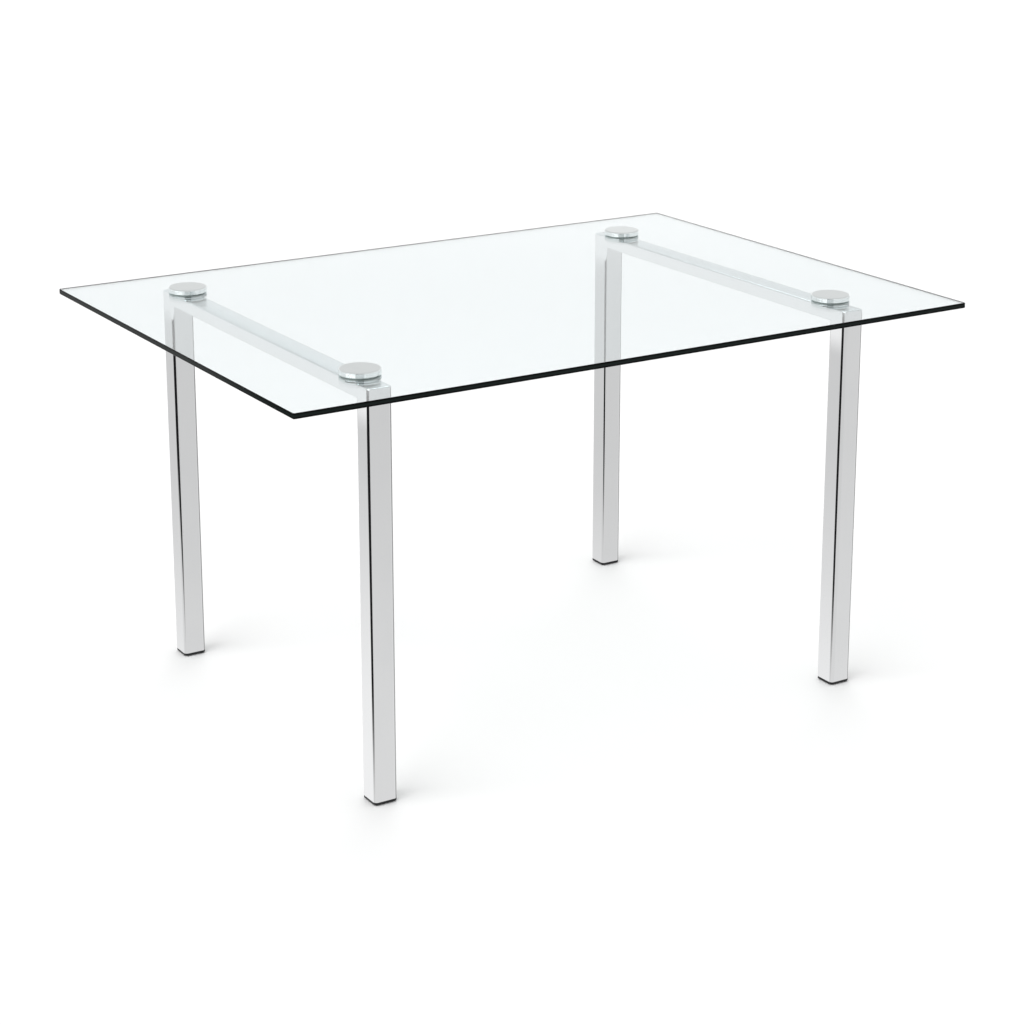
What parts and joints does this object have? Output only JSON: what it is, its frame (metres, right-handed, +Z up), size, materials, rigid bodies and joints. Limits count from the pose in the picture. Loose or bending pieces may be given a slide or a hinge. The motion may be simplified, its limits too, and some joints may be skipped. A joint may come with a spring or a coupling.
{
  "type": "dining table",
  "caption": "Rectangular dining table with a clear glass top clamped by round discs on two welded side frames of square tube, with levelling glides.",
  "frame": {"origin": "on the floor under the middle of the table top", "axes": "+X along the long side of the top, +Y towards the back, +Z up"},
  "size_m": [1.4, 1, 0.761],
  "materials": {
    "clear_glass": "clear toughened float glass, polished edges that look dark green to black",
    "chromed_tube": "bright chrome plate on steel tube, welds ground flush before plating",
    "chromed_disc": "bright chrome plate on turned steel discs",
    "black_plastic": "moulded black plastic with a fine matt grain",
    "gasket": "soft translucent vinyl washer",
    "nylon": "natural nylon, moulded",
    "zinc_plated_steel": "bright zinc plate on threaded steel"
  },
  "bodies": {
    "table": {"glass_top": "clear_glass", "rail_left": "chromed_tube", "rail_right": "chromed_tube", "leg_front_left": "chromed_tube", "leg_back_left": "chromed_tube", "leg_front_right": "chromed_tube", "leg_back_right": "chromed_tube", "leg_plate_front_left": "chromed_tube", "leg_plate_back_left": "chromed_tube", "leg_plate_front_right": "chromed_tube", "leg_plate_back_right": "chromed_tube", "foot_plug_front_left": "black_plastic", "foot_plug_back_left": "black_plastic", "foot_plug_front_right": "black_plastic", "foot_plug_back_right": "black_plastic", "rail_insert_front_left": "zinc_plated_steel", "rail_insert_back_left": "zinc_plated_steel", "rail_insert_front_right": "zinc_plated_steel", "rail_insert_back_right": "zinc_plated_steel", "spacer_disc_front_left": "chromed_disc", "spacer_disc_back_left": "chromed_disc", "spacer_disc_front_right": "chromed_disc", "spacer_disc_back_right": "chromed_disc", "lower_gasket_front_left": "gasket", "lower_gasket_back_left": "gasket", "lower_gasket_front_right": "gasket", "lower_gasket_back_right": "gasket", "hole_bush_front_left": "nylon", "hole_bush_back_left": "nylon", "hole_bush_front_right": "nylon", "hole_bush_back_right": "nylon", "upper_gasket_front_left": "gasket", "upper_gasket_back_left": "gasket", "upper_gasket_front_right": "gasket", "upper_gasket_back_right": "gasket", "clamp_stud_front_left": "zinc_plated_steel", "clamp_stud_back_left": "zinc_plated_steel", "clamp_stud_front_right": "zinc_plated_steel", "clamp_stud_back_right": "zinc_plated_steel", "clamp_cap_front_left": "chromed_disc", "clamp_cap_back_left": "chromed_disc", "clamp_cap_front_right": "chromed_disc", "clamp_cap_back_right": "chromed_disc"},
    "pad_front_left": {"glide_pad_front_left": "black_plastic"},
    "stud_front_left": {"glide_stud_front_left": "zinc_plated_steel"},
    "pad_back_left": {"glide_pad_back_left": "black_plastic"},
    "stud_back_left": {"glide_stud_back_left": "zinc_plated_steel"},
    "pad_front_right": {"glide_pad_front_right": "black_plastic"},
    "stud_front_right": {"glide_stud_front_right": "zinc_plated_steel"},
    "pad_back_right": {"glide_pad_back_right": "black_plastic"},
    "stud_back_right": {"glide_stud_back_right": "zinc_plated_steel"}
  },
  "joints": [
    {"name": "glide_lift_front_left", "type": "slide", "parent": "table", "child": "pad_front_left", "axis": [0, 0, -1], "range_m": [0, 0.012]},
    {"name": "glide_turn_front_left", "type": "hinge", "parent": "pad_front_left", "child": "stud_front_left", "pos_m": [-0.5, -0.395, 0.003], "axis": [0, 0, -1], "range_deg": [0, 3460]},
    {"name": "glide_lift_back_left", "type": "slide", "parent": "table", "child": "pad_back_left", "axis": [0, 0, -1], "range_m": [0, 0.012]},
    {"name": "glide_turn_back_left", "type": "hinge", "parent": "pad_back_left", "child": "stud_back_left", "pos_m": [-0.5, 0.395, 0.003], "axis": [0, 0, -1], "range_deg": [0, 3460]},
    {"name": "glide_lift_front_right", "type": "slide", "parent": "table", "child": "pad_front_right", "axis": [0, 0, -1], "range_m": [0, 0.012]},
    {"name": "glide_turn_front_right", "type": "hinge", "parent": "pad_front_right", "child": "stud_front_right", "pos_m": [0.5, -0.395, 0.003], "axis": [0, 0, -1], "range_deg": [0, 3460]},
    {"name": "glide_lift_back_right", "type": "slide", "parent": "table", "child": "pad_back_right", "axis": [0, 0, -1], "range_m": [0, 0.012]},
    {"name": "glide_turn_back_right", "type": "hinge", "parent": "pad_back_right", "child": "stud_back_right", "pos_m": [0.5, 0.395, 0.003], "axis": [0, 0, -1], "range_deg": [0, 3460]}
  ],
  "couplings": [
    {"joint": "glide_turn_front_left", "follows": "glide_lift_front_left", "rad_per_m": 5026.5},
    {"joint": "glide_turn_back_left", "follows": "glide_lift_back_left", "rad_per_m": 5026.5},
    {"joint": "glide_turn_front_right", "follows": "glide_lift_front_right", "rad_per_m": 5026.5},
    {"joint": "glide_turn_back_right", "follows": "glide_lift_back_right", "rad_per_m": 5026.5}
  ]
}
